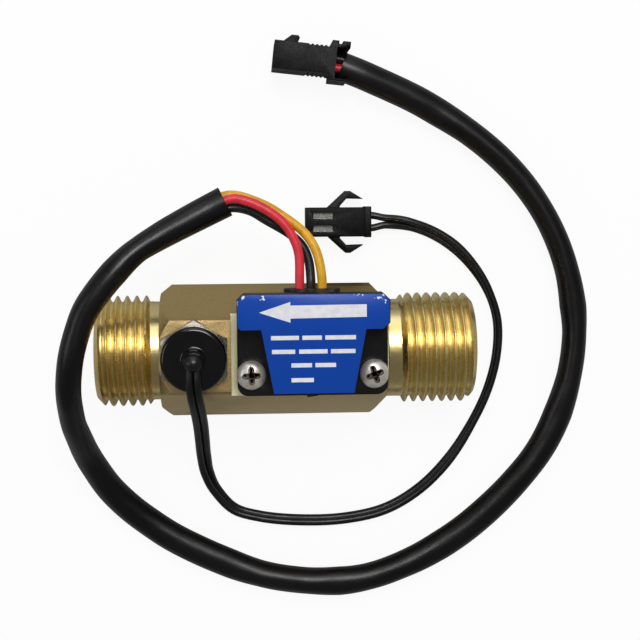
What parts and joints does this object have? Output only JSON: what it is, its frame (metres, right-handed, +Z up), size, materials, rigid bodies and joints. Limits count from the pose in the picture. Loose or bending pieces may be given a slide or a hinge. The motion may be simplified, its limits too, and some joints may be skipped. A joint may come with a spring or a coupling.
{
  "type": "water flow sensor",
  "caption": "Brass pipe body with male threads, a turbine rotor inside, a screwed pulse sensor housing, a screwed temperature probe and two leads with plug connectors.",
  "frame": {"origin": "on the surface that the sensor lies on, under the middle of the pipe's length, with the cords left out", "axes": "+X along the pipe axis, against the flow, from the outlet to the inlet; +Y towards the side that the three wires leave; +Z up, from the back flat to the housing and probe"},
  "size_m": [0.1034, 0.1106, 0.0315],
  "materials": {
    "brass": "turned threads and chamfers, cast flats",
    "vane_plastic": "moulded",
    "carrier_plastic": "moulded",
    "magnet": "sintered, bare",
    "steel": "ground",
    "screw_steel": "nickel plated",
    "nut_metal": "nickel plated, thin",
    "housing_plastic": "moulded, fine grain",
    "label_film": "printed film, scuffed at its corners",
    "potting": "cast resin, glossy",
    "rubber": "moulded",
    "board": "coated glass fibre",
    "chip": "moulded",
    "red_insulation": "soft, smooth",
    "black_insulation": "soft, smooth",
    "yellow_insulation": "soft, smooth",
    "sleeve_plastic": "soft tube with a dull sheen",
    "connector_plastic": "moulded",
    "tin": "tinned",
    "thermistor": "dipped"
  },
  "bodies": {
    "sensor": {"body": "brass", "outlet_spider": "carrier_plastic", "rotor_shaft": "steel", "inlet_spider": "carrier_plastic", "retaining_ring": "steel", "hall_housing": "housing_plastic", "potting_seal": "potting", "hall_board": "board", "hall_chip": "chip", "lead_tails": "red_insulation", "wire_grommet": "rubber", "label": "label_film", "screw_left": "screw_steel", "screw_right": "screw_steel", "probe_nut": "nut_metal", "probe_o_ring": "rubber", "probe_sheath": "steel", "probe_thermistor": "thermistor", "probe_cap": "potting", "red_wire": "red_insulation", "black_wire": "black_insulation", "yellow_wire": "yellow_insulation", "sleeve": "sleeve_plastic", "output_connector": "connector_plastic", "output_pins": "tin", "probe_cable": "black_insulation", "probe_connector": "connector_plastic", "probe_contacts": "tin"},
    "turbine": {"rotor": "vane_plastic", "rotor_magnets": "magnet"}
  },
  "joints": [
    {"name": "rotor_spin", "type": "hinge", "parent": "sensor", "child": "turbine", "pos_m": [0.00134, 0, 0.011], "axis": [1, 0, 0], "continuous": true}
  ]
}
